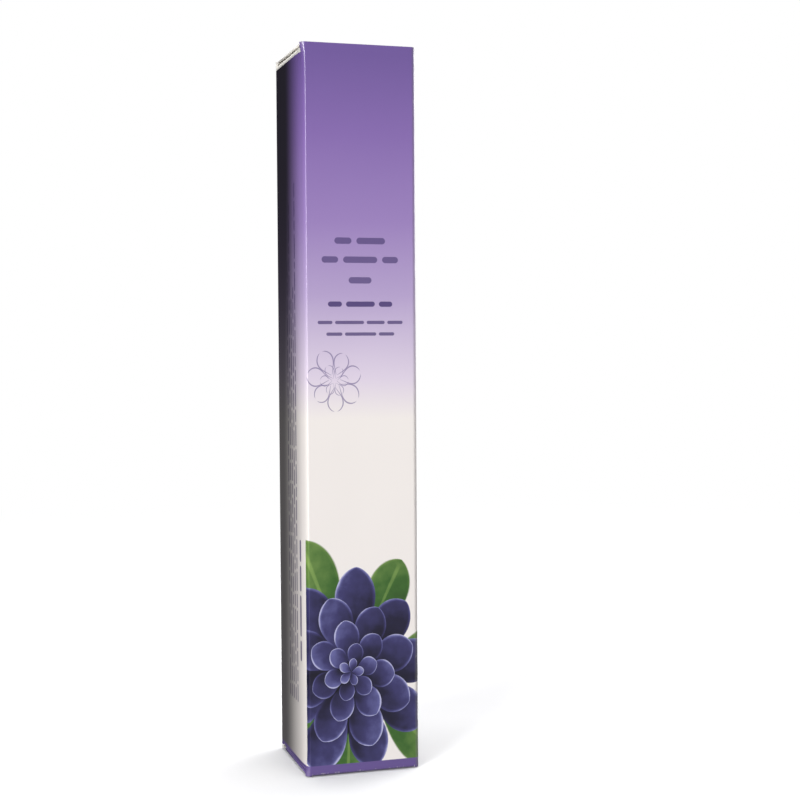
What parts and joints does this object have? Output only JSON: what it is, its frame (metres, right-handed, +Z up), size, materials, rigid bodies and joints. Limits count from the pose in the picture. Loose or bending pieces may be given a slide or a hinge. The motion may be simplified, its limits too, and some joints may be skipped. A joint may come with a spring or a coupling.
{
  "type": "nail oil pen in carton",
  "caption": "Slim upright folding carton with tuck lids and dust flaps, holding a twist-up nail oil pen with a capped brush that feeds as its tail knob is turned.",
  "frame": {"origin": "middle of the carton's underside, on the surface it stands on", "axes": "+Z up along the carton, -Y out of the front face, +X to the right as seen from the front"},
  "size_m": [0.0214, 0.0214, 0.132],
  "materials": {
    "printed_board": "violet to off-white offset print on white board under a glossy film",
    "plain_board": "uncoated white board",
    "barrel_plastic": "pearly off-white moulded plastic",
    "knob_plastic": "violet moulded plastic",
    "cap_plastic": "clear moulded plastic",
    "trim_metal": "bright anodised",
    "collar_plastic": "white moulded plastic",
    "inner_plastic": "natural moulded plastic",
    "seal_rubber": "soft sealing rubber",
    "brush_fibre": "fine white nylon bristles"
  },
  "bodies": {
    "carton": {"front_panel": "printed_board", "left_panel": "printed_board", "back_panel": "printed_board", "right_panel": "printed_board", "glue_flap": "plain_board"},
    "top_lid": {"top_lid": "printed_board"},
    "top_tuck_flap": {"top_tuck_flap": "printed_board"},
    "top_dust_flap_left": {"top_dust_flap_left": "plain_board"},
    "top_dust_flap_right": {"top_dust_flap_right": "plain_board"},
    "bottom_lid": {"bottom_lid": "printed_board"},
    "bottom_tuck_flap": {"bottom_tuck_flap": "printed_board"},
    "bottom_dust_flap_left": {"bottom_dust_flap_left": "plain_board"},
    "bottom_dust_flap_right": {"bottom_dust_flap_right": "plain_board"},
    "pen": {"outer_barrel": "barrel_plastic", "reservoir_tube": "inner_plastic", "nut_insert": "inner_plastic", "ratchet_ring": "inner_plastic", "trim_ring": "trim_metal", "front_collar": "collar_plastic", "collar_o_ring": "seal_rubber", "feed_tube": "inner_plastic", "brush_ferrule": "trim_metal", "brush": "brush_fibre"},
    "cap": {"cap": "cap_plastic", "cap_liner": "collar_plastic"},
    "knob": {"twist_knob": "knob_plastic", "drive_spindle": "inner_plastic"},
    "rod": {"screw_rod": "inner_plastic"},
    "piston": {"piston": "seal_rubber"}
  },
  "joints": [
    {"name": "pen_draw", "type": "slide", "parent": "carton", "child": "pen", "axis": [0, 0, 1], "range_m": [0, 0.045]},
    {"name": "cap_pull", "type": "slide", "parent": "pen", "child": "cap", "axis": [0, 0, 1], "range_m": [0, 0.036]},
    {"name": "top_lid_hinge", "type": "hinge", "parent": "carton", "child": "top_lid", "pos_m": [0, 0.0107, 0.132], "axis": [-1, 0, 0], "range_deg": [0, 240]},
    {"name": "top_tuck_hinge", "type": "hinge", "parent": "top_lid", "child": "top_tuck_flap", "pos_m": [0, -0.01, 0.132], "axis": [-1, 0, 0], "range_deg": [0, 48]},
    {"name": "top_dust_left_hinge", "type": "hinge", "parent": "carton", "child": "top_dust_flap_left", "pos_m": [-0.0107, 0, 0.1311], "axis": [0, -1, 0], "range_deg": [0, 240]},
    {"name": "top_dust_right_hinge", "type": "hinge", "parent": "carton", "child": "top_dust_flap_right", "pos_m": [0.0107, 0, 0.1311], "axis": [0, 1, 0], "range_deg": [0, 240]},
    {"name": "bottom_lid_hinge", "type": "hinge", "parent": "carton", "child": "bottom_lid", "pos_m": [0, -0.0107, 0], "axis": [-1, 0, 0], "range_deg": [0, 200]},
    {"name": "bottom_tuck_hinge", "type": "hinge", "parent": "bottom_lid", "child": "bottom_tuck_flap", "pos_m": [0, 0.01, 0], "axis": [-1, 0, 0], "range_deg": [0, 40]},
    {"name": "bottom_dust_left_hinge", "type": "hinge", "parent": "carton", "child": "bottom_dust_flap_left", "pos_m": [-0.0107, 0, 0.0009], "axis": [0, 1, 0], "range_deg": [0, 200]},
    {"name": "bottom_dust_right_hinge", "type": "hinge", "parent": "carton", "child": "bottom_dust_flap_right", "pos_m": [0.0107, 0, 0.0009], "axis": [0, -1, 0], "range_deg": [0, 200]},
    {"name": "knob_twist", "type": "hinge", "parent": "pen", "child": "knob", "pos_m": [0, -0.004, 0.00135], "axis": [0, 0, 1], "range_deg": [0, 2160]},
    {"name": "rod_feed", "type": "slide", "parent": "knob", "child": "rod", "axis": [0, 0, 1], "range_m": [0, 0.024]},
    {"name": "piston_feed", "type": "slide", "parent": "pen", "child": "piston", "axis": [0, 0, 1], "range_m": [0, 0.024]}
  ],
  "couplings": [
    {"joint": "cap_pull", "follows": "pen_draw", "ratio": 0.8},
    {"joint": "top_lid_hinge", "follows": "pen_draw", "rad_per_m": 93.084},
    {"joint": "top_tuck_hinge", "follows": "pen_draw", "rad_per_m": 18.617},
    {"joint": "top_dust_left_hinge", "follows": "pen_draw", "rad_per_m": 93.084},
    {"joint": "top_dust_right_hinge", "follows": "pen_draw", "rad_per_m": 93.084},
    {"joint": "bottom_tuck_hinge", "follows": "bottom_lid_hinge", "ratio": 0.2},
    {"joint": "bottom_dust_left_hinge", "follows": "bottom_lid_hinge", "ratio": 1},
    {"joint": "bottom_dust_right_hinge", "follows": "bottom_lid_hinge", "ratio": 1},
    {"joint": "knob_twist", "follows": "piston_feed", "rad_per_m": 1570.8},
    {"joint": "rod_feed", "follows": "piston_feed", "ratio": 1}
  ]
}
